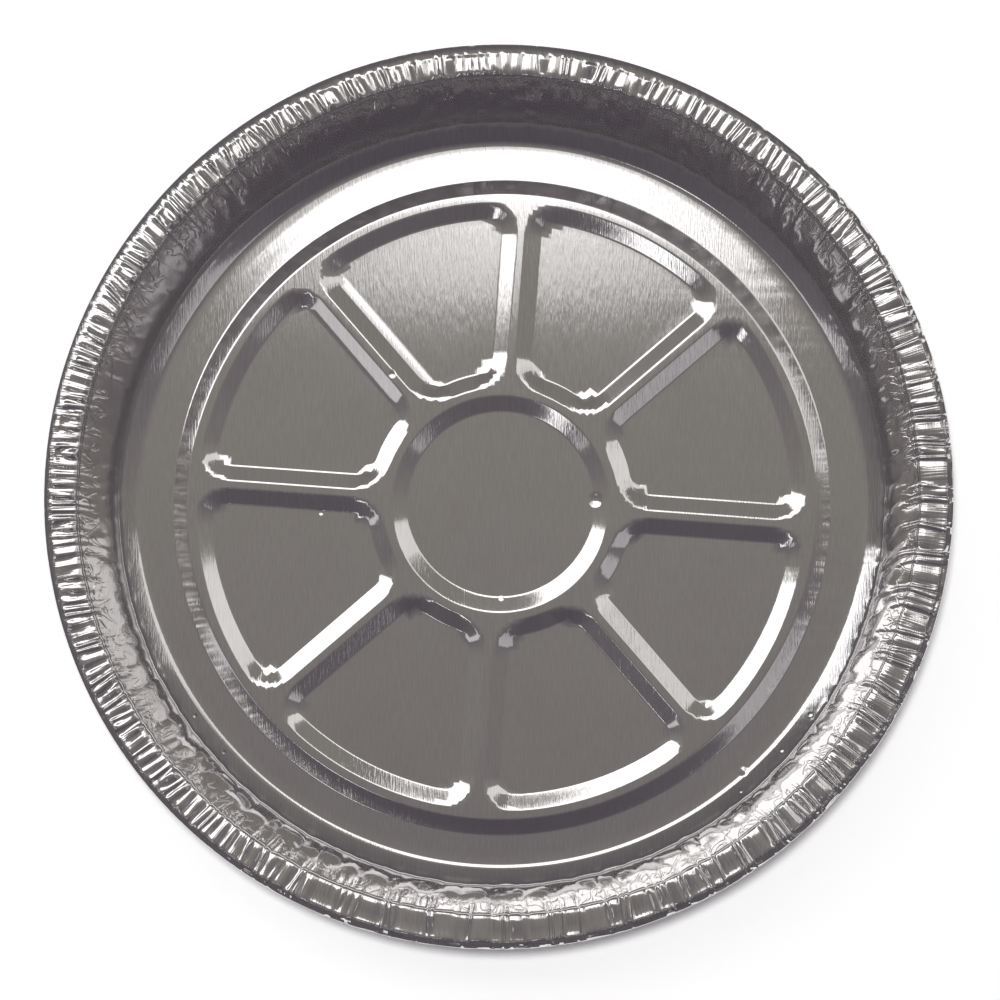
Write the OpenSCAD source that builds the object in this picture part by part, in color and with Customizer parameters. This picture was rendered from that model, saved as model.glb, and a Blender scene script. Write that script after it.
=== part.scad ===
// Round foil pie tin: one pressed and pleated aluminium sheet.
// The sheet is built row by row, from the middle of the base out to the curled edge.
// The upper skin faces the food, and the lower skin lies one foil thickness behind it.

/* [Rim] */
// Diameter over the curled edge
rim_d = 229; // [222:1:260]
// Diameter of the mouth, where the wall bends into the flange
mouth_d = 209.6; // [202:0.2:216]
// Radius of the bend between the wall and the flange
mouth_bend_r = 1; // [0.5:0.1:2]
// Outer diameter of the curled edge
curl_d = 2.4; // [1.8:0.1:4]
// How far the curled edge turns, in degrees
curl_turn = 270; // [180:5:290]

/* [Body] */
// Height over all
height = 27; // [20:1:60]
// Diameter of the level part of the base, out to where the corner starts
base_d = 186; // [176:1:194]
// Inner radius of the corner between the base and the wall
corner_r = 7; // [3:0.5:8]
// Height of the band above the base that has no pleats
plain_band_h = 6.5; // [5.5:0.5:12]
// Thickness of the foil
foil_t = 0.08; // [0.05:0.01:0.3]

/* [Pleats] */
// Number of pleats round the tin
pleats = 200; // [60:1:240]
// Depth of the pleats at the top of the wall
wall_pleat_depth = 0.9; // [0.2:0.1:1.6]
// Depth of the pleats on the flange
flange_pleat_depth = 0.5; // [0.1:0.1:0.8]
// How uneven the pleats are, as a share of their depth and pitch
pleat_unevenness = 0.4; // [0:0.1:0.6]

/* [Base embossing] */
// Number of pressed panels, with a spoke between each two
panels = 8; // [4:1:12]
// Height of the raised middle above the ring that the tin stands on
plateau_h = 1.5; // [0.8:0.1:3]
// Diameter of the raised middle, at its top edge
plateau_d = 161.8; // [140:0.2:174]
// Width of every sloping side, seen from above
slope_w = 4; // [2:0.1:5]
// Width of the raised ring outside the panels
outer_land_w = 2.2; // [1:0.1:4]
// Width of the raised ring round the hub
hub_land_w = 2.2; // [1:0.1:4]
// Width of the raised top of each spoke
spoke_w = 2; // [1:0.1:4]
// How far the panels are pressed down
panel_depth = 1.3; // [0.5:0.1:1.5]
// Radius of the corners of each panel's floor
panel_corner_r = 3.4; // [1:0.1:5]
// Diameter of the hub's floor
hub_d = 48.2; // [30:0.2:60]
// How far the hub is pressed down
hub_depth = 1.2; // [0.5:0.1:1.5]

/* [Hidden] */

// Steps round one corner of a panel, along the arc between two, and over the bends
panel_corner_steps = 3;
panel_arc_steps = 4;
corner_steps = 3;
curl_steps = 6;
pleat_seed = 33;

// Points on one side of a panel, and on a plain row round the whole tin
side_points = 2 * (panel_corner_steps + 1) + panel_arc_steps - 1;
row_points = panels * side_points;
pleat_points = 2 * pleats;
sector_a = 360 / panels;

// Levels of the upper skin
rest_z = foil_t;
plateau_z = rest_z + plateau_h;
panel_z = plateau_z - panel_depth;
hub_z = plateau_z - hub_depth;
flange_z = height - flange_pleat_depth / 2;

// Radii of the embossing
hub_r = hub_d / 2;
hub_top_r = hub_r + slope_w;
panel_in_r = hub_top_r + hub_land_w;
plateau_r = plateau_d / 2;
panel_out_r = plateau_r - outer_land_w;
step_r = plateau_r + slope_w;

// The wall runs from the mouth to the corner's curve, which it meets without a kink
corner_x = base_d / 2;
corner_z = rest_z + corner_r;
mouth_x = mouth_d / 2;
mouth_z = flange_z - mouth_bend_r;
mouth_reach = norm([mouth_x - corner_x, mouth_z - corner_z]);
mouth_bearing = atan2(mouth_z - corner_z, mouth_x - corner_x);
wall_a = mouth_bearing - acos(corner_r / mouth_reach);
wall_foot_x = corner_x + corner_r * cos(wall_a);
wall_foot_z = corner_z + corner_r * sin(wall_a);
band_share = (rest_z + plain_band_h - wall_foot_z) / (mouth_z - wall_foot_z);
band_x = wall_foot_x + (mouth_x - wall_foot_x) * band_share;

// Centre of the curled edge
curl_r = curl_d / 2;
curl_x = rim_d / 2 - curl_r;
curl_z = height - curl_r;

// Uneven share for each fold line, the same every time
uneven_depth = rands(0, 1, pleat_points, pleat_seed);
uneven_place = rands(-0.5, 0.5, pleat_points, pleat_seed + 1);

// A row: radius, level, and the direction that the upper skin faces there
function level_row(r, z) = [r, z, 0, 1];
function bend_row(x, z, r, a, side) = [x + r * cos(a), z + r * sin(a), side * cos(a), side * sin(a)];

hub_rows = [
    level_row(hub_r, hub_z),
    level_row(hub_top_r, plateau_z)
];

// Rows of one panel: inner side on top and on the floor, then outer side on the floor and on top
panel_rows = [
    [panel_in_r, plateau_z, 0, -1],
    [panel_in_r + slope_w, panel_z, slope_w, -1],
    [panel_out_r - slope_w, panel_z, slope_w, 1],
    [panel_out_r, plateau_z, 0, 1]
];

corner_rows = [
    for (i = [0 : corner_steps])
        bend_row(corner_x, corner_z, corner_r, -90 + (wall_a + 90) * i / corner_steps, -1)
];
band_row = [band_x, rest_z + plain_band_h, -cos(wall_a), -sin(wall_a)];

// Pleated rows, each with its pleats' depth
pleat_rows = [
    [mouth_x, mouth_z, -cos(wall_a), -sin(wall_a), wall_pleat_depth],
    [mouth_x + mouth_bend_r, flange_z, 0, 1, flange_pleat_depth],
    [curl_x - curl_r, flange_z, 0, 1, flange_pleat_depth]
];
curl_rows = [
    for (i = [0 : curl_steps])
        bend_row(curl_x, curl_z, curl_r, 90 - curl_turn * i / curl_steps, 1)
];

// Points of a plain row; back is how far behind the upper skin it lies
function even_angle(i) = sector_a * (i + 0.5) / side_points;
function row_point(row, a, back) = [
    (row[0] - back * row[2]) * cos(a),
    (row[0] - back * row[2]) * sin(a),
    row[1] - back * row[3]
];
function plain_points(row, back) = [
    for (i = [0 : row_points - 1])
        row_point(row, even_angle(i), back)
];

// Points of a pleated row: fold lines stand in turn above and below the row
function fold_rise(row, i) = row[4] / 2 * (i % 2 == 0 ? 1 : -1) * (1 - pleat_unevenness * uneven_depth[i]);
function fold_angle(i) = 360 * (i + pleat_unevenness * uneven_place[i]) / pleat_points;
function pleated_points(row, back) = [
    for (i = [0 : pleat_points - 1])
        row_point(row, fold_angle(i), back - fold_rise(row, i))
];

// Half of one side of a panel, from the straight edge by its spoke to the panel's middle.
// way is -1 on the side of the hub and 1 on the side of the rim.
function half_side(r, inset, way) =
    let (
        bend = panel_corner_r + slope_w - inset,
        across = spoke_w / 2 + inset + bend,
        out = r - way * bend,
        along = sqrt(out * out - across * across),
        lean = atan2(across, along),
        turn = way > 0 ? 90 + lean : lean - 90
    )
    concat(
        [
            for (i = [0 : panel_corner_steps])
                let (a = -90 + turn * i / panel_corner_steps)
                    [along + bend * cos(a), across + bend * sin(a)]
        ],
        [
            for (i = [1 : panel_arc_steps / 2])
                let (a = lean + (sector_a / 2 - lean) * i / (panel_arc_steps / 2))
                    [r * cos(a), r * sin(a)]
        ]
    );

function turned(p, a) = [p[0] * cos(a) - p[1] * sin(a), p[0] * sin(a) + p[1] * cos(a)];
function whole_side(half) = concat(
    half,
    [for (i = [len(half) - 2 : -1 : 0]) turned([half[i][0], -half[i][1]], sector_a)]
);
function panel_points(row, back) =
    let (side = whole_side(half_side(row[0], row[2], row[3])))
    [
        for (k = [0 : panels - 1], p = side)
            let (q = turned(p, k * sector_a))
                [q[0], q[1], row[1] - back]
    ];

// Points that lie at the same angles as the outer side of the panels
function follow_points(row, back) = [
    for (p = panel_points(panel_rows[3], 0))
        row_point(row, atan2(p[1], p[0]), back)
];

function skin_points(back) = concat(
    [[0, 0, hub_z - back]],
    [for (row = hub_rows, p = plain_points(row, back)) p],
    [for (row = panel_rows, p = panel_points(row, back)) p],
    follow_points(level_row(plateau_r, plateau_z), back),
    follow_points(level_row(step_r, rest_z), back),
    [for (row = corner_rows, p = plain_points(row, back)) p],
    plain_points(band_row, back),
    [for (row = pleat_rows, p = pleated_points(row, back)) p],
    [for (row = curl_rows, p = plain_points(row, back)) p]
);

// Number of each row's first point in a skin
first_hub = 1;
first_panel = first_hub + len(hub_rows) * row_points;
first_plateau = first_panel + len(panel_rows) * row_points;
first_corner = first_plateau + 2 * row_points;
first_band = first_corner + len(corner_rows) * row_points;
first_pleat = first_band + row_points;
first_curl = first_pleat + len(pleat_rows) * pleat_points;
last_curl = first_curl + curl_steps * row_points;
skin_size = last_curl + row_points;

// Two triangles for each four-sided patch
function split(a, b, c, d) = [[a, b, c], [a, c, d]];
function strip(first_in, first_out, count) = [
    for (i = [0 : count - 1], t = let (j = (i + 1) % count)
        split(first_in + i, first_in + j, first_out + j, first_out + i))
        t
];
// Patches within each panel only
function panel_strip(first_in, first_out) = [
    for (k = [0 : panels - 1], i = [0 : side_points - 2], t = let (p = k * side_points + i)
        split(first_in + p, first_in + p + 1, first_out + p + 1, first_out + p))
        t
];
// Joins two rows that have different numbers of points
function joined(first_in, count_in, first_out, count_out) = concat(
    [
        for (i = [0 : count_in - 1])
            let (j = ceil(((2 * i + 1) * count_out - count_in) / (2 * count_in)))
                [first_in + i, first_in + (i + 1) % count_in, first_out + j % count_out]
    ],
    [
        for (j = [0 : count_out - 1])
            let (i = floor(((2 * j + 1) * count_in - count_out) / (2 * count_out)) + 1)
                [first_in + i % count_in, first_out + (j + 1) % count_out, first_out + j]
    ]
);

function panel_row_start(i) = first_panel + i * row_points;
function corner_point(row, k, end) = panel_row_start(row) + k * side_points + end * (side_points - 1);
// The sloping sides beside the spokes, and the top of each spoke
panel_sides = [
    for (k = [0 : panels - 1], t = concat(
        split(corner_point(0, k, 0), corner_point(1, k, 0), corner_point(2, k, 0), corner_point(3, k, 0)),
        split(corner_point(1, k, 1), corner_point(0, k, 1), corner_point(3, k, 1), corner_point(2, k, 1))
    ))
        t
];
spoke_tops = [
    for (k = [0 : panels - 1], t = let (n = (k + 1) % panels)
        split(corner_point(0, k, 1), corner_point(0, n, 0), corner_point(3, n, 0), corner_point(3, k, 1)))
        t
];

hub_floor = [
    for (i = [0 : row_points - 1])
        [0, first_hub + (i + 1) % row_points, first_hub + i]
];
skin_faces = concat(
    hub_floor,
    strip(first_hub, first_hub + row_points, row_points),
    strip(first_hub + row_points, first_panel, row_points),
    [for (i = [0 : len(panel_rows) - 2], t = panel_strip(panel_row_start(i), panel_row_start(i + 1))) t],
    panel_sides,
    spoke_tops,
    strip(panel_row_start(3), first_plateau, row_points),
    strip(first_plateau, first_plateau + row_points, row_points),
    strip(first_plateau + row_points, first_corner, row_points),
    [
        for (i = [0 : corner_steps], t = strip(
            first_corner + i * row_points, first_corner + (i + 1) * row_points, row_points))
            t
    ],
    joined(first_band, row_points, first_pleat, pleat_points),
    [
        for (i = [0 : len(pleat_rows) - 2], t = strip(
            first_pleat + i * pleat_points, first_pleat + (i + 1) * pleat_points, pleat_points))
            t
    ],
    joined(first_curl - pleat_points, pleat_points, first_curl, row_points),
    [
        for (i = [0 : curl_steps - 1], t = strip(
            first_curl + i * row_points, first_curl + (i + 1) * row_points, row_points))
            t
    ]
);
// The cut edge of the sheet, inside the curl
cut_edge = strip(last_curl, last_curl + skin_size, row_points);

function behind(faces) = [for (f = faces) [f[2] + skin_size, f[1] + skin_size, f[0] + skin_size]];

module pie_tin() {
    color("silver")
        polyhedron(
            points = concat(skin_points(0), skin_points(foil_t)),
            faces = concat(skin_faces, behind(skin_faces), cut_edge),
            convexity = 6
        );
}

pie_tin();
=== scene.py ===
import math
import random

import bmesh
import bpy
from mathutils import Matrix, Vector, noise


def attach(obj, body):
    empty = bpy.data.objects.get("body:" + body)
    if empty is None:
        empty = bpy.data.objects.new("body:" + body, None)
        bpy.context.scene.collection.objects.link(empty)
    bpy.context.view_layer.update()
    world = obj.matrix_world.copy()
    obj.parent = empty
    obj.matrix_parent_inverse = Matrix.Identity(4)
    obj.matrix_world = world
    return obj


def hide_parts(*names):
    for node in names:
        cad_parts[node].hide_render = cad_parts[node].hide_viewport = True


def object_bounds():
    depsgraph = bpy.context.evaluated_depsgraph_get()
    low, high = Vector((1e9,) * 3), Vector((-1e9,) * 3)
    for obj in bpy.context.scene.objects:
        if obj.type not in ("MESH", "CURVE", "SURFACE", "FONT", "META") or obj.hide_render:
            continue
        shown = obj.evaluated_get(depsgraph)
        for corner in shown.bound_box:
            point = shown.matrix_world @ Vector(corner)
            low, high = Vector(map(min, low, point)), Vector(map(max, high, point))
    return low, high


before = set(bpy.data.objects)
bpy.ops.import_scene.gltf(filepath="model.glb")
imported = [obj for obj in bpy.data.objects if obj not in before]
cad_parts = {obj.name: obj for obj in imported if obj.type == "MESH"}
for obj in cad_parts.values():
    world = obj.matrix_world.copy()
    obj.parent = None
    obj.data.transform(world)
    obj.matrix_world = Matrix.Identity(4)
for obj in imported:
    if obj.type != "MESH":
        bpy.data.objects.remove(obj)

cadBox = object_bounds()
print("frame loaded")

mm = 0.001
fullTurn = 2 * math.pi
boxMargin = 0.03                # millimetres between the sheet and the part's box, at its side and top


def boxLists(box):
    return [[float(value) for value in corner] for corner in box]


boxLow, boxHigh = boxLists(cadBox)

# Camera: almost straight above, where the photograph was taken from
view = {
    "frameWidth": 0.2504,       # width of the picture at the level of the rim
    "distance": 0.80,
    "tilt": 6.73,               # degrees from straight above
    "bearing": -68.2,           # where the camera stands, in degrees from the picture's right
    "patternTurn": -4.4,        # the embossing's turn in the picture
    "aim": (1.07, -2.77),       # picture's middle from the middle of the rim, in millimetres
    "sensor": 36.0,
}
pictureTurn = math.radians(-view["patternTurn"])
pictureRight = Vector((math.cos(pictureTurn), math.sin(pictureTurn), 0))
pictureUp = Vector((-math.sin(pictureTurn), math.cos(pictureTurn), 0))


# The sheet, in millimetres. Its upper skin is drawn, and its thickness is laid behind that.
tin = {
    "foil": 0.08,
    "rimRadius": (boxHigh[0] - boxLow[0]) / mm / 2 - boxMargin,
    "height": (boxHigh[2] - boxLow[2]) / mm - boxMargin,
    "baseRadius": 93.3,         # level part of the base
    "footRadius": 3.6,          # from the base into the plain band
    "bandSlope": 27.5,          # degrees
    "bandEnd": 98.7,
    "cornerRadius": 1.2,        # from the plain band into the wall
    "mouthRadius": 105.4,
    "bendRadius": 1.0,          # between wall and flange
    "flangeDrop": 0.62,         # flange below the top of the box
    "shoulderRadius": 0.35,     # where the flange turns down into the curled edge
    "faceRadius": 9.6,          # sloping face of the curled edge
    "faceTurns": (72, 63),      # its section's start and end, in degrees from level
    "broadMiddle": 122,         # degrees, middle of the side where that face is broader
    "broadReach": 62,
    "broadFace": 1.0,           # how much broader
    "broadDrop": 0.28,          # and how much lower at its outer side
    "edgeRadius": 0.45,         # the outermost turn
    "edgeEnd": -150,            # degrees, where the sheet ends under the curl
    "spokes": 8,
    "columnsPerSector": 36,
}

# Embossing of the base, in millimetres, where nothing else is said
emboss = {
    "hubRadius": 24.15,
    "slope": 4.02,              # width of each sloping side
    "hubLand": 2.15,
    "plateauRadius": 81.2,
    "outerLand": 2.15,
    "spokeWidth": 2.0,
    "topCorner": 8.8,           # corners of a panel at its upper edge
    "floorCorner": 4.4,         # and at its floor
    "plateauHeight": 1.34,
    "panelDepth": 1.3,
    "hubDepth": 1.2,
    "fold": 0.075,              # share of a slope that its rounded folds reach past each end
    "ringRise": 0.16,           # the outer level land is higher at its inner edge
    "dome": 0.25,               # middle of the base above its edge
    "shift": (0.05, -0.90),     # the stamping's middle from the tin's, in the picture's right and up
    "shiftEnd": 84,             # radius from which that shift fades
    "waviness": 0.03,
    "waveSize": 28,
    "waveEdge": 10,             # the waves fade over this width before the end of the base
    "driftedSpoke": 3,          # one spoke is stamped a little off its place
    "drift": -0.58,
}

# Pleats of the flange, in millimetres, where nothing else is said
pleat = {
    "seed": 7,
    "runs": (2, 3, 4, 4, 5),            # how many pleats fan out together
    "widths": (0.5, 0.75, 1.0, 1.35),   # against each other
    "firstWidth": 1.15,                 # the first pleat of a run
    "calmWidth": 1.6,                   # and how much broader it is on the calm side
    "jitter": (0.25, 0.35),             # unevenness of the widths, at the flange's outer and inner edge
    "depths": (0.35, 0.8, 1.0, 1.25),
    "skews": (0, 0, 0, 0.55, -0.55),    # how far a pleat's top runs aslant
    "lips": (0.1, 0.5, 1.0),
    "lean": 0.42,                       # how far a pleat's two ends stand aside, in columns
    "shoulder": 0.24,                   # from the crease to a pleat's top, as a share of the pleat
    "calmShoulder": 0.11,               # and how much less on the calm side
    "depth": 0.26,
    "crown": 0.12,
    "skewedCrown": 0.12,                # extra height of a pleat whose top runs aslant
    "tilt": 0.17,
    "rake": 0.075,                      # slope of a pleat's top along its length
    "endWidth": 0.16,                   # share of the flange over which both of its ends level out
    "lip": 0.20,                        # the flange turns up against the curled edge
    "lipWidth": 0.22,
    "mouthDip": 0.13,                   # and down towards the mouth
    "calmMiddle": -38,                  # degrees, middle of the side with broad, flat pleats
    "calmReach": 80,
}

# Crumples of the wall and crinkles of the curl, in millimetres, where nothing else is said
crumple = {
    "wallDepth": 0.40,          # of the pleats, where they run down the wall
    "wallReach": (0.25, 0.45),  # how far they do, as a share of it, and how much more amid a run
    "cornerMargin": 1.8,        # width of the plain band's edge that the crumples reach
    "depth": 0.85,
    "width": 5.4,
    "height": 11.0,
    "slant": 0.75,
    "slantWaves": 5,            # this and the other waves are counted per radian
    "wander": 0.02,             # radians
    "wanderWaves": 22,
    "wanderHeight": 6,
    "foldDepth": 0.30,          # lines between the crumples
    "foldWidth": 0.13,
    "swell": 0.16,
    "swellWaves": 9,
    "swellHeight": 22,
    "start": 0.25,              # share of the wall over which the crumples set in
    "fadeStart": 0.45,          # and from which they grow shallower
    "fadeWidth": 0.5,
    "fade": 0.7,
    "calm": 0.6,                # how much smoother the smoothest wall is
    "calmMiddle": 155,          # degrees, middle of that side
    "calmReach": 50,
    "curlDepth": 0.60,
    "curlWaves": 75,
    "curlRun": 0.9,
    "curlLeast": 0.12,          # share of that depth away from the side with flat pleats
}


def smooth(value):
    value = min(max(value, 0.0), 1.0)
    return value * value * (3 - 2 * value)


def linePiece(x0, z0, x1, z1):
    length = math.hypot(x1 - x0, z1 - z0)
    nx, nz = (z0 - z1) / length, (x1 - x0) / length

    def at(t):
        return x0 + (x1 - x0) * t, z0 + (z1 - z0) * t, nx, nz

    return length, at


def arcPiece(cx, cz, radius, start, end):
    side = -1 if end > start else 1

    def at(t):
        angle = math.radians(start + (end - start) * t)
        c, s = math.cos(angle), math.sin(angle)
        return cx + radius * c, cz + radius * s, side * c, side * s

    return radius * math.radians(abs(end - start)), at


# Three arcs, each tangent to the last, from the flange over the sloping face to the hidden end
def curlPieces(flangeZ):
    t = tin
    faceStart, faceEnd = t["faceTurns"]
    startX, startZ = math.cos(math.radians(faceStart)), math.sin(math.radians(faceStart))
    endX, endZ = math.cos(math.radians(faceEnd)), math.sin(math.radians(faceEnd))
    edgeX = t["rimRadius"] - t["edgeRadius"]
    faceX = edgeX - (t["faceRadius"] - t["edgeRadius"]) * endX
    shoulderX = faceX + (t["faceRadius"] - t["shoulderRadius"]) * startX
    shoulderZ = flangeZ - t["shoulderRadius"]
    faceZ = shoulderZ - (t["faceRadius"] - t["shoulderRadius"]) * startZ
    edgeZ = faceZ + (t["faceRadius"] - t["edgeRadius"]) * endZ
    return shoulderX, {
        "shoulder": arcPiece(shoulderX, shoulderZ, t["shoulderRadius"], 90, faceStart),
        "face": arcPiece(faceX, faceZ, t["faceRadius"], faceStart, faceEnd),
        "edge": arcPiece(edgeX, edgeZ, t["edgeRadius"], faceEnd, t["edgeEnd"]),
    }


# The section of the sheet from the middle of the base to the end of the curl
def sectionPieces():
    t = tin
    floorZ = t["foil"]
    flangeZ = t["height"] - t["flangeDrop"]
    footTurn = math.radians(t["bandSlope"])
    bandX = t["baseRadius"] + t["footRadius"] * math.sin(footTurn)
    bandZ = floorZ + t["footRadius"] * (1 - math.cos(footTurn))
    bandEndZ = bandZ + (t["bandEnd"] - bandX) * math.tan(footTurn)
    cornerX = t["bandEnd"] - t["cornerRadius"] * math.sin(footTurn)
    cornerZ = bandEndZ + t["cornerRadius"] * math.cos(footTurn)
    bendX = t["mouthRadius"] + t["bendRadius"]
    bendZ = flangeZ - t["bendRadius"]
    reach = math.hypot(bendX - cornerX, bendZ - cornerZ)
    bearing = math.atan2(bendZ - cornerZ, bendX - cornerX)
    lean = math.acos((t["cornerRadius"] + t["bendRadius"]) / reach) - bearing
    leanDegrees = math.degrees(lean)
    wall = [
        cornerX + t["cornerRadius"] * math.cos(lean), cornerZ - t["cornerRadius"] * math.sin(lean),
        bendX - t["bendRadius"] * math.cos(lean), bendZ + t["bendRadius"] * math.sin(lean),
    ]
    flangeEnd, curl = curlPieces(flangeZ)
    return {
        "base": linePiece(0, floorZ, t["baseRadius"], floorZ),
        "foot": arcPiece(
            t["baseRadius"], floorZ + t["footRadius"], t["footRadius"], -90, t["bandSlope"] - 90),
        "band": linePiece(bandX, bandZ, t["bandEnd"], bandEndZ),
        "corner": arcPiece(cornerX, cornerZ, t["cornerRadius"], t["bandSlope"] - 90, -leanDegrees),
        "wall": linePiece(*wall),
        "bend": arcPiece(bendX, bendZ, t["bendRadius"], 180 - leanDegrees, 90),
        "flange": linePiece(bendX, flangeZ, flangeEnd, flangeZ),
        **curl,
    }


section = sectionPieces()
pieceStart = {}
sectionLength = 0.0
for name, (length, at) in section.items():
    pieceStart[name] = sectionLength
    sectionLength += length


def sectionPoint(along):
    for name, (length, at) in section.items():
        if along <= pieceStart[name] + length + 1e-6 or name == "edge":
            return at((along - pieceStart[name]) / length)


# Where the rings of the sheet lie along its section
def spreadRings(start, end, count):
    return [start + (end - start) * (i + 1) / count for i in range(count)]


# Each stop is a radius and the number of rings up to it
def baseRings():
    e = emboss
    reach = e["fold"] * e["slope"]
    hubTop = e["hubRadius"] + e["slope"]
    panelIn = hubTop + e["hubLand"]
    panelOut = e["plateauRadius"] - e["outerLand"]
    stepFoot = e["plateauRadius"] + e["slope"]
    stops = [
        (e["hubRadius"] - reach, 4), (e["hubRadius"] + reach, 3), (hubTop - reach, 3), (hubTop + reach, 3),
        (panelIn - reach, 1), (panelIn + reach, 3), (panelIn + e["slope"] - reach, 3),
        (panelIn + e["slope"] + reach, 3), (panelIn + e["topCorner"] + 1, 3),
        (panelOut - e["topCorner"] - 1, 2),
        (panelOut - e["slope"] - reach, 4), (panelOut - e["slope"] + reach, 3), (panelOut - reach, 3),
        (panelOut + reach, 3), (e["plateauRadius"] - reach, 1), (e["plateauRadius"] + reach, 3),
        (stepFoot - reach, 3), (stepFoot + reach, 3), (tin["baseRadius"], 3),
    ]
    rings = [0.0]
    for end, count in stops:
        rings += spreadRings(rings[-1], end, count)
    return rings


bandTop = pieceStart["corner"] - crumple["cornerMargin"]


def allRings():
    rings = baseRings()
    rings += spreadRings(rings[-1], pieceStart["band"], 4)
    rings += spreadRings(rings[-1], bandTop, 1)
    rings += spreadRings(rings[-1], pieceStart["corner"], 2)
    rings += spreadRings(rings[-1], pieceStart["wall"], 2)
    rings += spreadRings(rings[-1], pieceStart["bend"] - 0.8, 9)
    rings += spreadRings(rings[-1], pieceStart["flange"], 3)
    flangeLength = section["flange"][0]
    rings += [pieceStart["flange"] + flangeLength * share for share in (0.10, 0.22, 0.50, 0.78, 0.90, 1.0)]
    rings += spreadRings(rings[-1], pieceStart["face"], 1)
    rings += spreadRings(rings[-1], pieceStart["edge"], 2)
    rings += spreadRings(rings[-1], sectionLength, 3)
    return rings


# The base's columns turn aside so that some run along the sides of the spokes, in millimetres
turning = {
    "start": 14,                # radius from which they turn aside
    "full": 27.0,               # and from which they run along the spokes
    "past": 1,                  # they do so to this far past the sloping step
    "rest": 0.5,                # and run straight out again this far before the end of the base
}
columns = tin["spokes"] * tin["columnsPerSector"]
sectorAngle = fullTurn / tin["spokes"]
columnAngle = fullTurn / columns
halfColumns = tin["columnsPerSector"] // 2


def spokeOffsets():
    e = emboss
    reach = e["fold"] * e["slope"]
    top = e["spokeWidth"] / 2
    foot = top + e["slope"]
    stops = [(top - reach, 1), (top + reach, 3), (foot - reach, 3), (foot + reach, 3), (foot + 3, 1)]
    found = [0.0]
    for end, count in stops:
        found += spreadRings(found[-1], end, count)
    return found


offsets = spokeOffsets()


def warpedAngle(column, radius):
    spoke = round(column / tin["columnsPerSector"])
    step = column - spoke * tin["columnsPerSector"]
    count = abs(step)
    inner, outer = turning["full"], emboss["plateauRadius"] + emboss["slope"] + turning["past"]
    held = min(max(radius, inner), outer)
    if count < len(offsets):
        angle = math.asin(offsets[count] / held)
    else:
        last = math.asin(offsets[-1] / held)
        share = (count - len(offsets) + 1) / (halfColumns - len(offsets) + 1)
        angle = last + (sectorAngle / 2 - last) * share
    even = count * columnAngle
    aside = smooth((radius - turning["start"]) / (inner - turning["start"]))
    back = smooth((radius - outer) / (tin["baseRadius"] - outer - turning["rest"]))
    pull = aside * (1 - back)
    angle = math.copysign(even + (angle - even) * pull, step)
    if spoke == emboss["driftedSpoke"]:
        angle += emboss["drift"] / held * pull * (1 - count / halfColumns)
    return spoke * sectorAngle + angle


# A slope from 0 to 1 with a rounded fold at each end
def ramp(share):
    f = emboss["fold"]
    if share <= -f:
        return 0.0
    if share < f:
        return (share + f) ** 2 / (4 * f)
    if share <= 1 - f:
        return share
    if share < 1 + f:
        return 1 - (1 + f - share) ** 2 / (4 * f)
    return 1.0


# The smaller of two distances, rounded off where they are alike
def roundMin(a, b, radius):
    if a < radius and b < radius:
        return radius - math.hypot(radius - a, radius - b)
    return min(a, b)


# How far down a panel's slope a point is: 0 at its upper edge, 1 at its floor
def panelShare(radius, angle):
    e = emboss
    slope = e["slope"]
    spoke = round(angle / sectorAngle)
    lean = angle - spoke * sectorAngle
    drift = e["drift"] if spoke == e["driftedSpoke"] else 0.0
    across = abs(math.sin(lean) * radius - drift) - e["spokeWidth"] / 2
    fromHub = radius - e["hubRadius"] - slope - e["hubLand"]
    fromRing = e["plateauRadius"] - e["outerLand"] - radius
    top = roundMin(roundMin(fromHub, fromRing, e["topCorner"]), across, e["topCorner"])
    corner = e["floorCorner"]
    floor = roundMin(roundMin(fromHub - slope, fromRing - slope, corner), across - slope, corner)
    if top <= 0:
        return top / slope
    if floor >= 0:
        return 1 + floor / slope
    return top / (top - floor)


# Height of the embossed base above its lowest level
def baseHeight(radius, angle):
    e = emboss
    slope = e["slope"]
    height = e["plateauHeight"] * (1 - ramp((radius - e["plateauRadius"]) / slope))
    height -= e["panelDepth"] * ramp(panelShare(radius, angle))
    height -= e["hubDepth"] * ramp((e["hubRadius"] + slope - radius) / slope)
    height += e["dome"] * (1 - (radius / tin["baseRadius"]) ** 2)
    outerLand = tin["baseRadius"] - e["plateauRadius"] - slope
    height += e["ringRise"] * min((tin["baseRadius"] - radius) / outerLand, 1.0)
    size = e["waveSize"]
    wave = noise.noise(Vector((radius * math.cos(angle) / size, radius * math.sin(angle) / size, 0.5)))
    height += e["waviness"] * wave * smooth((tin["baseRadius"] - radius) / e["waveEdge"])
    return max(height, 0.0)


def baseNormal(radius, angle):
    step = 0.05
    radius = max(radius, step)
    out = (baseHeight(radius + step, angle) - baseHeight(radius - step, angle)) / (2 * step)
    turn = step / radius
    around = (baseHeight(radius, angle + turn) - baseHeight(radius, angle - turn)) / (2 * step)
    normal = Matrix.Rotation(angle, 3, "Z") @ Vector((-out, -around, 1))
    return normal.normalized()


rng = random.Random(pleat["seed"])
pleats = columns
pleatParts = 4                  # a pleat's columns, one in its crease and three over its top
sideBlend = 20                  # degrees over which a side of the tin passes into the rest, to each side


# 1 within reach of a side of the tin and 0 away from it, middle and reach in degrees
def beside(angle, middle, reach):
    away = abs((math.degrees(angle) - middle + 180) % 360 - 180)
    return 1 - smooth((away - reach + sideBlend) / (2 * sideBlend))


def calmness(angle):
    return beside(angle, pleat["calmMiddle"], pleat["calmReach"])


def broadness(angle):
    return beside(angle, tin["broadMiddle"], tin["broadReach"])


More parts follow.
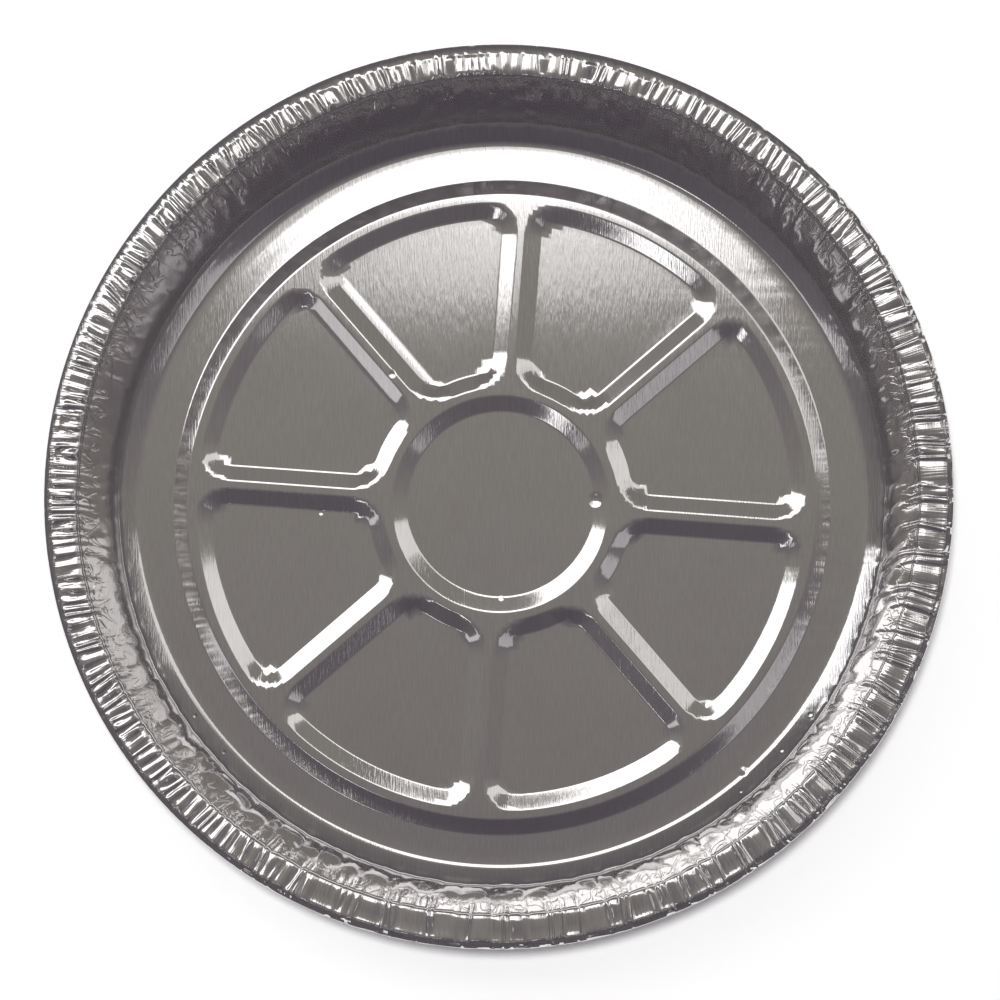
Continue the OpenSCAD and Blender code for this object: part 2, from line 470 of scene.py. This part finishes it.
# The pleats stand in runs: where each starts at the flange's outer and inner edge, in columns,
# how calm its side of the tin is, and how far down the wall it reaches
def pleatRuns():
    outer, inner, calm, reach = [], [], [], []
    leastReach, moreReach = crumple["wallReach"]
    k = start = 0
    while k < pleats:
        count = min(rng.choice(pleat["runs"]), pleats - k)
        calmHere = calmness(k * columnAngle)
        weights = [pleat["firstWidth"] + pleat["calmWidth"] * calmHere]
        weights += [rng.choice(pleat["widths"]) for i in range(count - 1)]
        end = pleats if k + count >= pleats else k + count + rng.uniform(-pleat["lean"], pleat["lean"])
        for places, jitter in zip((outer, inner), pleat["jitter"]):
            uneven = [weight * rng.uniform(1 - jitter, 1 + jitter) for weight in weights]
            total = sum(uneven)
            place = start if places is outer else k
            width = (end - start) if places is outer else count
            for weight in uneven:
                places.append(place)
                place += weight / total * width
        start = end
        calm += [calmHere] * count
        for i in range(count):
            amid = math.sin(math.pi * i / count)
            reach.append(leastReach + moreReach * amid * rng.uniform(0.7, 1.1))
        k += count
    return outer, inner, calm, reach


pleatOuter, pleatInner, pleatCalm, pleatReach = pleatRuns()
pleatDepth = [rng.choice(pleat["depths"]) * rng.uniform(0.8, 1.1) for k in range(pleats)]
pleatTilt = [rng.gauss(0, 1) for k in range(pleats)]
pleatTop = [rng.uniform(-0.5, 0.5) for k in range(pleats)]
pleatSkew = [rng.choice(pleat["skews"]) for k in range(pleats)]
pleatRake = [rng.gauss(0, 1) for k in range(pleats)]
pleatLip = [rng.choice(pleat["lips"]) * (1 - broadness(k * columnAngle)) for k in range(pleats)]
wallLife = [
    1 - crumple["calm"] * beside(k * columnAngle, crumple["calmMiddle"], crumple["calmReach"])
    for k in range(pleats)
]


# Where a pleat starts, counted on past a full turn
def pleatPlace(places, k):
    return places[k % pleats] + pleats * (k // pleats)


# Where a fine column stands at the flange's inner or outer edge, in columns
def finePlace(places, k, part):
    shoulder = pleat["shoulder"] - pleat["calmShoulder"] * pleatCalm[k]
    aslant = pleatSkew[k] / 2 if places is pleatOuter else -pleatSkew[k] / 2
    share = (0.0, shoulder, 0.5 + aslant * (1 - 2 * shoulder), 1 - shoulder)[part]
    start = pleatPlace(places, k)
    return start + (pleatPlace(places, k + 1) - start) * share, share


# A wave round the tin that closes on itself: this many to a radian, and a place up the wall
def roundWave(waves, angle, level):
    return noise.noise(Vector((math.cos(angle) * waves, math.sin(angle) * waves, level)))


# Bulges with sharp folds between them, slanted and uneven
def crumpleHeight(angle, along):
    c = crumple
    radius = tin["mouthRadius"]
    slant = c["slant"] * roundWave(c["slantWaves"], angle, 3.5)
    turned = angle + c["wander"] * roundWave(c["wanderWaves"], angle, along / c["wanderHeight"])
    turned += slant * (along - bandTop) / radius
    place = Vector((
        radius * math.cos(turned) / c["width"],
        radius * math.sin(turned) / c["width"],
        along / c["height"],
    ))
    near, second = noise.voronoi(place, distance_metric="DISTANCE")[0][:2]
    line = c["foldDepth"] * math.exp(-((second - near) / c["foldWidth"]) ** 2)
    wide = roundWave(c["swellWaves"], turned, along / c["swellHeight"])
    return c["depth"] * (0.4 - near * near) - line + c["swell"] * wide


def wallRise(k, part, share, angle, along):
    c = crumple
    up = (along - bandTop) / (pieceStart["bend"] - bandTop)
    fading = 1 - c["fade"] * smooth((up - c["fadeStart"]) / c["fadeWidth"])
    body = smooth(up / c["start"]) * fading * wallLife[k]
    own = smooth((up - 1 + pleatReach[k]) / pleatReach[k]) * wallLife[k]
    rise = crumpleHeight(angle, along) * body
    if part == 0:
        return rise - c["wallDepth"] * pleatDepth[k] * own
    return rise + c["wallDepth"] * (pleatTilt[k] * (share - 0.5) * 0.5 + pleatTop[k] * 0.3) * own


# Height of a pleat over the flat flange, with out running from 0 at the mouth to 1 at the curled edge
def flangeRise(k, part, share, out):
    p = pleat
    calm = pleatCalm[k]
    fromMouth = smooth(out / p["endWidth"])
    ends = fromMouth * smooth((1 - out) / p["endWidth"])
    lip = p["lip"] * pleatLip[k] * smooth((out - (1 - p["lipWidth"])) / p["lipWidth"])
    margin = lip - p["mouthDip"] * (1 - fromMouth)
    if part == 0:
        return margin - p["depth"] * pleatDepth[k]
    crown = p["crown"] * (1.6 - 1.5 * calm)
    if pleatSkew[k] != 0:
        crown += p["skewedCrown"] * (1 - 0.8 * calm)
    rake = p["rake"] * pleatRake[k] * (out - 0.5) * section["flange"][0] * (1 - 0.5 * calm)
    tilt = p["tilt"] * (pleatTilt[k] * (share - 0.5) * (1 - 0.5 * calm) + pleatTop[k])
    return margin + (crown * (part == 2) + rake + tilt) * ends


# How far inwards and down the curled edge stands on the side where its face is broader
def broadCurl(along, angle):
    out = min(max((along - pieceStart["flange"]) / section["flange"][0], 0.0), 1.0)
    past = min(max((along - pieceStart["face"]) / section["face"][0], 0.0), 1.0)
    wide = broadness(angle)
    return tin["broadFace"] * wide * out * (1 - past), tin["broadDrop"] * wide * past


# The angle and the rise of a point of the wall, the flange or the curl
def pleatedPoint(along, angle):
    fine = round(angle / (columnAngle / pleatParts)) % (pleats * pleatParts)
    k, part = divmod(fine, pleatParts)
    outer, share = finePlace(pleatOuter, k, part)
    inner = finePlace(pleatInner, k, part)[0]
    if along < pieceStart["bend"]:
        up = (along - bandTop) / (pieceStart["bend"] - bandTop)
        mix = smooth(up / 0.9)
        place = fine / pleatParts + (inner - fine / pleatParts) * mix
        return place * columnAngle, wallRise(k, part, share, place * columnAngle, along)
    if along < pieceStart["flange"]:
        mix = (along - pieceStart["bend"]) / (pieceStart["flange"] - pieceStart["bend"])
        wallPart = wallRise(k, part, share, inner * columnAngle, pieceStart["bend"])
        return inner * columnAngle, wallPart + (flangeRise(k, part, share, 0) - wallPart) * mix
    if along < pieceStart["shoulder"] - 1e-6:
        out = (along - pieceStart["flange"]) / section["flange"][0]
        return (inner + (outer - inner) * out) * columnAngle, flangeRise(k, part, share, out)
    past = (along - pieceStart["shoulder"]) / (sectionLength - pieceStart["shoulder"])
    rise = flangeRise(k, part, share, 1) * (1 - smooth(past / 0.12))
    crinkle = roundWave(crumple["curlWaves"], angle, along / crumple["curlRun"])
    life = crumple["curlLeast"] + (1 - crumple["curlLeast"]) * pleatCalm[k]
    fade = smooth(past / 0.1) * (1 - smooth((past - 0.6) / 0.2)) * life
    return outer * columnAngle, rise + crumple["curlDepth"] * min(crinkle, 0.0) * fade


# The place of a point of the sheet, from its way along the section and its angle
def shapedPoint(along, angle):
    if along <= tin["baseRadius"] + 1e-6:
        if along < 1e-6:
            return Vector((0, 0, tin["foil"] + baseHeight(0, 0)))
        turned = warpedAngle(round(angle / columnAngle), along)
        height = tin["foil"] + baseHeight(along, turned)
        shift = (pictureRight * emboss["shift"][0] + pictureUp * emboss["shift"][1])
        shift *= 1 - smooth((along - emboss["shiftEnd"]) / (tin["baseRadius"] - emboss["shiftEnd"]))
        return Vector((along * math.cos(turned), along * math.sin(turned), height)) + shift
    x, z, nx, nz = sectionPoint(along)
    rise = 0.0
    if along > bandTop + 1e-6:
        angle, rise = pleatedPoint(along, angle)
    inward, drop = broadCurl(along, angle)
    x += nx * rise - inward
    z += nz * rise - drop
    return Vector((x * math.cos(angle), x * math.sin(angle), z))


# The embossing and the curled edge carry their true normals, and the pleats between them the mesh's own
def trueNormal(along, angle, drawn):
    if along < tin["baseRadius"] - 1e-6:
        return baseNormal(along, warpedAngle(round(angle / columnAngle), along))
    if along < pieceStart["face"] - 1e-6:
        return drawn.copy()
    step = 0.02
    before, after = shapedPoint(along - step, angle), shapedPoint(along + step, angle)
    outward = Vector((before.x, before.y, 0)).normalized()
    around = Vector((-outward.y, outward.x, 0))
    run = (after - before).normalized()
    normal = Vector((0, 0, 1)) * run.dot(outward) - outward * run.z + around * drawn.dot(around)
    return normal.normalized()


def makeTin():
    bm = bmesh.new()
    alongLayer = bm.verts.layers.float.new("along")
    rings = allRings()
    line = []
    for along in rings:
        x, z, nx, nz = sectionPoint(along)
        vert = bm.verts.new((x, 0, z))
        vert[alongLayer] = along
        line.append(vert)
    edges = [bm.edges.new(pair) for pair in zip(line, line[1:])]
    bmesh.ops.spin(
        bm, geom=line + edges, cent=(0, 0, 0), axis=(0, 0, 1), angle=fullTurn, steps=columns, use_merge=True)
    bmesh.ops.remove_doubles(bm, verts=[v for v in bm.verts if v[alongLayer] < 1e-6], dist=1e-4)
    print("sheet turned:", len(bm.verts), "points")

    pleated = [
        e for e in bm.edges
        if abs(e.verts[0][alongLayer] - e.verts[1][alongLayer]) < 1e-4
        and bandTop + 1e-3 < e.verts[0][alongLayer]
    ]
    bmesh.ops.subdivide_edges(
        bm, edges=pleated, cuts=pleatParts - 1, use_grid_fill=True, use_single_edge=True)
    angles = [math.atan2(vert.co.y, vert.co.x) % fullTurn for vert in bm.verts]
    for vert, angle in zip(bm.verts, angles):
        vert.co = shapedPoint(vert[alongLayer], angle) * mm
    bmesh.ops.recalc_face_normals(bm, faces=bm.faces)
    middle = min(bm.faces, key=lambda face: face.calc_center_median().xy.length)
    if middle.normal.z < 0:
        bmesh.ops.reverse_faces(bm, faces=bm.faces)
    bm.normal_update()
    normals = [trueNormal(vert[alongLayer], angle, vert.normal) for vert, angle in zip(bm.verts, angles)]
    mesh = bpy.data.meshes.new("pie_tin_foil")
    bm.to_mesh(mesh)
    bm.free()
    for polygon in mesh.polygons:
        polygon.use_smooth = True
    mesh.normals_split_custom_set_from_vertices(normals)
    piece = bpy.data.objects.new("pie_tin_foil", mesh)
    bpy.context.scene.collection.objects.link(piece)
    shell = piece.modifiers.new("thickness", "SOLIDIFY")
    shell.thickness = tin["foil"] * mm
    shell.offset = -1
    print("sheet pleated:", len(mesh.polygons), "faces")
    return piece


# Shader maths on sockets
class Value:
    def __init__(self, graph, socket):
        self.graph = graph
        self.socket = socket

    def maths(self, operation, other, swapped=False):
        pair = (other, self) if swapped else (self, other)
        made = self.graph.node("ShaderNodeMath", {"operation": operation}, {0: pair[0], 1: pair[1]})
        return made["Value"]

    def __add__(self, other):
        return self.maths("ADD", other)

    def __radd__(self, other):
        return self.maths("ADD", other, True)

    def __sub__(self, other):
        return self.maths("SUBTRACT", other)

    def __rsub__(self, other):
        return self.maths("SUBTRACT", other, True)

    def __mul__(self, other):
        return self.maths("MULTIPLY", other)

    def __rmul__(self, other):
        return self.maths("MULTIPLY", other, True)

    def __truediv__(self, other):
        return self.maths("DIVIDE", other)

    def __rtruediv__(self, other):
        return self.maths("DIVIDE", other, True)

    def __abs__(self):
        return self.graph.node("ShaderNodeMath", {"operation": "ABSOLUTE"}, {0: self})["Value"]


# A made node's outputs, by name
class Outputs:
    def __init__(self, graph, made):
        self.graph = graph
        self.made = made

    def __getitem__(self, name):
        return Value(self.graph, self.made.outputs[name])


# The nodes of a material or of the world
class Graph:
    def __init__(self, name=None, tree=None):
        if tree is None:
            self.material = bpy.data.materials.new(name)
            self.material.use_nodes = True
            tree = self.material.node_tree
        self.tree = tree
        self.tree.nodes.clear()

    def mix(self, share, first, second):
        made = self.node("ShaderNodeMix", {"data_type": "RGBA"}, {0: share, 6: first, 7: second})
        return Value(self, made.made.outputs[2])

    def node(self, kind, settings=None, values=None):
        made = self.tree.nodes.new(kind)
        for key, value in (settings or {}).items():
            if key == "stops":
                stops = made.color_ramp.elements
                while len(stops) < len(value):
                    stops.new(0.5)
                for stop, (place, colour) in zip(stops, value):
                    stop.position = place
                    stop.color = colour
            else:
                setattr(made, key, value)
        for key, value in (values or {}).items():
            if isinstance(value, Value):
                self.tree.links.new(value.socket, made.inputs[key])
            else:
                made.inputs[key].default_value = value
        return Outputs(self, made)


# Finish of the foil, its depths in millimetres
foil = {
    "colour": (0.89, 0.88, 0.885, 1),
    "warm": (0.77, 0.75, 0.745, 1),
    "roughness": 0.075,
    "roughnessSpread": 0.02,
    "wallRoughness": 0.04,          # more where the sheet is drawn up into the wall
    "wallFoot": (0.002, 0.007),     # metres above the base, over which it is drawn up
    "mottle": 60.0,
    "grainTurn": 4.4,               # degrees
    "grainLines": 2900.0,           # per metre across the grain
    "grainRun": 220.0,              # per metre along it
    "grainDepth": 0.020,
    "grainTone": 0.50,
    "grainEnds": (0.36, 0.64),      # the noise's darkest and brightest lines
    "streakLines": 150.0,           # shallow waves across the grain, on one side of the base
    "streakRun": 6.0,
    "streakDepth": 0.05,
    "streakSide": (0.03, 0.085),    # metres from the middle, over which they set in
    "creaseLines": 120.0,           # fine pleats, per radian
    "creaseRun": 60.0,
    "creaseDepth": 0.13,
    "insideLoss": 0.65,             # how much shallower they are below the flange
    "crinkleSize": 300.0,
    "crinkleDepth": 0.05,
    "wrinkleLines": 26.0,           # thin wrinkles on the wall, per radian
    "wrinkleRun": 70.0,
    "wrinkleWidth": 0.06,
    "wrinkleDepth": 0.11,
    "wrinkled": (0.012, 0.021),     # metres above the base, over which fine pleats and wrinkles set in
    "flangeFoot": (0.0255, 0.0235), # metres above the base, over which the flange ends and the wall begins
}

# Knocks in the sheet, in millimetres: right and up in the picture from the stamping's middle, reach, depth
knocks = {
    "hub_dimple": (24.6, 1.0, 2.4, -0.20),
    "hub_tick": (0.2, -24.4, 0.9, 0.04),
    "spoke_nick": (-28.1, 34.0, 1.3, -0.10),
    "spoke_tick": (-46.5, -1.9, 1.1, -0.07),
    "foot_nick": (62.2, -69.0, 1.5, 0.14),
    "foot_dot_a": (71.9, -63.6, 0.7, 0.06),
    "foot_dot_b": (61.4, -74.0, 0.7, 0.06),
    "foot_dot_c": (79.2, -54.5, 0.7, 0.06),
    "foot_dot_d": (-78.8, -54.5, 0.7, 0.06),
    "foot_dot_e": (-71.2, -63.9, 0.7, 0.06),
}


# Height of the finish above the modelled surface, in millimetres
def finishHeight(g, place, parts, radius, grain):
    turned = g.node("ShaderNodeMapping", {"vector_type": "TEXTURE"}, {
        "Vector": place, "Rotation": (0, 0, math.radians(foil["grainTurn"]))})["Vector"]
    right = g.node("ShaderNodeSeparateXYZ", {}, {"Vector": turned})["X"]
    across = g.node("ShaderNodeMapping", {"vector_type": "POINT"}, {
        "Vector": turned, "Scale": (foil["streakRun"], foil["streakLines"], foil["streakRun"])})["Vector"]
    streak = g.node("ShaderNodeTexNoise", {}, {"Vector": across, "Scale": 1.0, "Detail": 2.0})["Fac"]
    sideStart, sideFull = foil["streakSide"]
    east = g.node("ShaderNodeMapRange", {"interpolation_type": "SMOOTHSTEP"}, {
        "Value": right, "From Min": sideStart, "From Max": sideFull})["Result"]
    height = grain * foil["grainDepth"] + streak * east * foil["streakDepth"]

    ring = g.node("ShaderNodeCombineXYZ", {}, {
        "X": parts["X"] / radius * foil["creaseLines"], "Y": parts["Y"] / radius * foil["creaseLines"],
        "Z": (radius + parts["Z"]) * foil["creaseRun"]})["Vector"]
    finePleat = g.node("ShaderNodeTexNoise", {}, {"Vector": ring, "Scale": 1.0, "Detail": 1.0})["Fac"]
    crinkle = g.node("ShaderNodeTexNoise", {}, {
        "Vector": place, "Scale": foil["crinkleSize"], "Detail": 1.0, "Distortion": 0.6})["Fac"]
    low, high = foil["wrinkled"]
    wrinkled = g.node("ShaderNodeMapRange", {"interpolation_type": "SMOOTHSTEP"}, {
        "Value": parts["Z"], "From Min": low, "From Max": high})["Result"]
    flangeEnd, wallStart = foil["flangeFoot"]
    below = g.node("ShaderNodeMapRange", {"interpolation_type": "SMOOTHSTEP"}, {
        "Value": parts["Z"], "From Min": flangeEnd, "From Max": wallStart})["Result"]
    strip = g.node("ShaderNodeCombineXYZ", {}, {
        "X": parts["X"] / radius * foil["wrinkleLines"], "Y": parts["Y"] / radius * foil["wrinkleLines"],
        "Z": (radius + parts["Z"]) * foil["wrinkleRun"]})["Vector"]
    wave = g.node("ShaderNodeTexNoise", {}, {
        "Vector": strip, "Scale": 1.0, "Detail": 1.0, "Distortion": 1.2})["Fac"]
    line = g.node("ShaderNodeMapRange", {"interpolation_type": "SMOOTHSTEP"}, {
        "Value": abs(wave - 0.5), "From Min": foil["wrinkleWidth"], "From Max": 0.0})["Result"]
    wall = abs(crinkle - 0.5) * foil["crinkleDepth"] - line * foil["wrinkleDepth"]
    creased = abs(finePleat - 0.5) * foil["creaseDepth"] * wrinkled * (1 - below * foil["insideLoss"])
    height = height + creased + wall * wrinkled * below

    level = g.node("ShaderNodeVectorMath", {"operation": "MULTIPLY"}, {0: turned, 1: (1, 1, 0)})["Vector"]
    for name, (toRight, toUp, reach, depth) in knocks.items():
        middle = ((toRight + emboss["shift"][0]) * mm, (toUp + emboss["shift"][1]) * mm, 0)
        away = g.node("ShaderNodeVectorMath", {"operation": "DISTANCE"}, {0: level, 1: middle})["Value"]
        dent = g.node("ShaderNodeMapRange", {"interpolation_type": "SMOOTHSTEP"}, {
            "Value": away, "From Min": reach * mm, "From Max": 0.0, "To Max": depth})["Result"]
        height = height + dent
    return height


def foilMaterial():
    g = Graph("foil")
    place = g.node("ShaderNodeTexCoord")["Object"]
    parts = g.node("ShaderNodeSeparateXYZ", {}, {"Vector": place})
    level = g.node("ShaderNodeVectorMath", {"operation": "MULTIPLY"}, {0: place, 1: (1, 1, 0)})["Vector"]
    radius = g.node("ShaderNodeVectorMath", {"operation": "LENGTH"}, {0: level})["Value"]
    lines = g.node("ShaderNodeMapping", {"vector_type": "POINT"}, {
        "Vector": g.node("ShaderNodeMapping", {"vector_type": "TEXTURE"}, {
            "Vector": place, "Rotation": (0, 0, math.radians(foil["grainTurn"]))})["Vector"],
        "Scale": (foil["grainLines"], foil["grainRun"], foil["grainRun"])})["Vector"]
    grain = g.node("ShaderNodeTexNoise", {}, {
        "Vector": lines, "Scale": 1.0, "Detail": 2.0, "Roughness": 0.6})["Fac"]
    mottle = g.node("ShaderNodeTexNoise", {}, {
        "Vector": place, "Scale": foil["mottle"], "Detail": 4.0})["Fac"]
    darkest, brightest = foil["grainEnds"]
    lined = g.node("ShaderNodeMapRange", {}, {
        "Value": grain, "From Min": darkest, "From Max": brightest})["Result"]
    tone = mottle * (1 - foil["grainTone"]) + lined * foil["grainTone"]
    colour = g.mix(tone, foil["warm"], foil["colour"])
    footStart, footEnd = foil["wallFoot"]
    drawn = g.node("ShaderNodeMapRange", {"interpolation_type": "SMOOTHSTEP"}, {
        "Value": parts["Z"], "From Min": footStart, "From Max": footEnd})["Result"]
    rough = foil["roughness"] - foil["roughnessSpread"] / 2 + mottle * foil["roughnessSpread"]
    rough = rough + drawn * foil["wallRoughness"]
    height = finishHeight(g, place, parts, radius, grain)
    bump = g.node("ShaderNodeBump", {}, {"Height": height * mm, "Strength": 1.0, "Distance": 1.0})["Normal"]
    shader = g.node("ShaderNodeBsdfPrincipled", {}, {
        "Base Color": colour, "Metallic": 1.0, "Roughness": rough, "Normal": bump})["BSDF"]
    g.node("ShaderNodeOutputMaterial", {}, {"Surface": shader})
    return g.material


# White, with a soft painted shadow close round the tin: the floor's glow colour is painted darker there
ground = {
    "radius": 6,                    # metres
    "sides": 96,
    "colour": (0.93, 0.93, 0.93, 1),
    "glow": 0.72,                   # only for the camera and the foil's reflections
    "glowColour": (1, 1, 1, 1),
    # painted shadow: colour of the floor's glow next to the tin, and where it fades out
    "shadow": (0.10, 0.10, 0.11, 1),
    "shadowReach": (115.0, 118.4),  # millimetres from the tin's middle
}


def floorMaterial():
    g = Graph("floor_white")
    place = g.node("ShaderNodeTexCoord")["Object"]
    away = g.node("ShaderNodeVectorMath", {"operation": "LENGTH"}, {0: place})["Value"]
    # Painted shadow: the glow's colour runs from the painted shadow's colour at the tin to white further
    # out, and the foil's reflections of the floor show it too
    near, far = ground["shadowReach"]
    outsidePaintedShadow = g.node("ShaderNodeMapRange", {"interpolation_type": "SMOOTHSTEP"}, {
        "Value": away, "From Min": near * mm, "From Max": far * mm})["Result"]
    glowWithPaintedShadow = g.mix(outsidePaintedShadow, ground["shadow"], ground["glowColour"])
    seen = g.node("ShaderNodeLightPath")
    glow = seen["Is Camera Ray"] + seen["Is Glossy Ray"] * (1 - seen["Is Camera Ray"])
    shader = g.node("ShaderNodeBsdfPrincipled", {}, {
        "Base Color": ground["colour"], "Roughness": 0.9, "Specular IOR Level": 0.0,
        "Emission Color": glowWithPaintedShadow, "Emission Strength": glow * ground["glow"]})["BSDF"]
    g.node("ShaderNodeOutputMaterial", {}, {"Surface": shader})
    return g.material


def makeCamera():
    data = bpy.data.cameras.new("camera")
    data.sensor_width = view["sensor"]
    data.lens = view["sensor"] * view["distance"] / view["frameWidth"]
    data.clip_start = 0.01
    camera = bpy.data.objects.new("camera", data)
    bpy.context.scene.collection.objects.link(camera)
    tilt, bearing = math.radians(view["tilt"]), math.radians(view["bearing"])
    back = pictureRight * (math.sin(tilt) * math.cos(bearing))
    back += pictureUp * (math.sin(tilt) * math.sin(bearing)) + Vector((0, 0, math.cos(tilt)))
    aim = (pictureRight * view["aim"][0] + pictureUp * view["aim"][1]) * mm
    aim += Vector((0, 0, tin["height"] * mm))
    up = (pictureUp - back * pictureUp.dot(back)).normalized()
    right = up.cross(back)
    turn = Matrix((right, up, back)).transposed().to_4x4()
    camera.matrix_world = Matrix.Translation(aim + back * view["distance"]) @ turn
    bpy.context.scene.camera = camera


# Soft boxes, each by where it lies above the tin: its edges to the picture's right and up, as shares
# of its height. North is the picture's up and east its right
lampHeight = 5.0                # metres
lamps = {
    "north_window": {"right": (-1.17, 0.10), "up": (0.272, 0.735), "strength": 1.3, "turn": -5},
    "north_haze": {"right": (-0.13, 0.05), "up": (0.191, 0.230), "strength": 0.60},
    "east_window_low": {"right": (0.10, 0.88), "up": (0.225, 0.44), "strength": 0.55},
    "east_window_high": {"right": (0.48, 0.86), "up": (0.44, 0.60), "strength": 0.50},
    "southeast_glow": {"right": (0.40, 0.80), "up": (-0.50, -0.20), "strength": 0.28},
    "southwest_lamp": {"right": (-0.40, -0.26), "up": (-0.39, -0.29), "strength": 1.4},
    "southwest_glow": {"right": (-1.02, -0.52), "up": (-0.33, -0.21), "strength": 0.45},
}

# The room's light, south to north overhead, low, and round the horizon
room = {
    "south": (0.088, 0.078, 0.092, 1),
    "middle": (0.172, 0.157, 0.163, 1),
    "above": (0.230, 0.218, 0.203, 1),
    "low": (0.115, 0.107, 0.117, 1),
    "horizonSouth": (0.10, 0.095, 0.10, 1),
    "horizonSides": (0.15, 0.145, 0.145, 1),
    "horizonNorth": (0.95, 0.93, 0.92, 1),
    "horizonTop": (0.30, 0.38),     # a direction's height, 1 straight up, where the horizon ends
    "lowTop": (0.5, 0.8),           # and where the part overhead begins
}


def makeLamp(name, facts):
    data = bpy.data.lights.new(name, "AREA")
    data.shape = "RECTANGLE"
    data.size = (facts["right"][1] - facts["right"][0]) * lampHeight
    data.size_y = (facts["up"][1] - facts["up"][0]) * lampHeight
    data.energy = facts["strength"] * math.pi * data.size * data.size_y     # watts for that radiance
    lamp = bpy.data.objects.new(name, data)
    bpy.context.scene.collection.objects.link(lamp)
    centre = pictureRight * (sum(facts["right"]) / 2 * lampHeight)
    centre += pictureUp * (sum(facts["up"]) / 2 * lampHeight)
    turn = Matrix((pictureRight, pictureUp, Vector((0, 0, 1)))).transposed().to_4x4()
    turn @= Matrix.Rotation(math.radians(facts.get("turn", 0)), 4, "Z")
    lamp.matrix_world = Matrix.Translation(centre + Vector((0, 0, lampHeight))) @ turn


# Overhead paler towards the north, dim lower down, and a horizon that is bright in the north
def shadeWorld(world):
    g = Graph(tree=world.node_tree)
    toward = g.node("ShaderNodeTexCoord")["Generated"]
    parts = g.node("ShaderNodeSeparateXYZ", {}, {"Vector": toward})
    north = parts["X"] * pictureUp.x + parts["Y"] * pictureUp.y
    lowEnd, overheadStart = room["lowTop"]
    level = g.node("ShaderNodeMapRange", {"interpolation_type": "SMOOTHSTEP"}, {
        "Value": parts["Z"], "From Min": lowEnd, "From Max": overheadStart})["Result"]
    sky = g.node("ShaderNodeValToRGB", {"stops": [
        (0.0, room["south"]), (0.50, room["middle"]), (0.72, room["above"])]}, {
        "Fac": north + 0.6})["Color"]
    horizon = g.node("ShaderNodeValToRGB", {"stops": [
        (0.15, room["horizonSouth"]), (0.52, room["horizonSides"]), (0.80, room["horizonNorth"])]}, {
        "Fac": north * 0.5 + 0.5})["Color"]
    horizonEnd, lowStart = room["horizonTop"]
    raised = g.node("ShaderNodeMapRange", {"interpolation_type": "SMOOTHSTEP"}, {
        "Value": parts["Z"], "From Min": horizonEnd, "From Max": lowStart})["Result"]
    colour = g.mix(level, g.mix(raised, horizon, room["low"]), sky)
    back = g.node("ShaderNodeBackground", {}, {"Color": colour})["Background"]
    g.node("ShaderNodeOutputWorld", {}, {"Surface": back})


def makeStage():
    bm = bmesh.new()
    bmesh.ops.create_circle(bm, cap_ends=True, segments=ground["sides"], radius=ground["radius"])
    mesh = bpy.data.meshes.new("floor")
    bm.to_mesh(mesh)
    bm.free()
    floor = bpy.data.objects.new("floor", mesh)
    bpy.context.scene.collection.objects.link(floor)
    mesh.materials.append(floorMaterial())
    world = bpy.data.worlds.new("room")
    world.use_nodes = True
    shadeWorld(world)
    bpy.context.scene.world = world


makeCamera()
makeStage()
for name, facts in lamps.items():
    makeLamp(name, facts)
print("camera, lamps and floor made")

tinPiece = makeTin()
tinPiece.data.materials.append(foilMaterial())
print("foil laid on")
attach(tinPiece, "root")
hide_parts("pie_tin")

bpy.context.scene.view_settings.view_transform = "Standard"
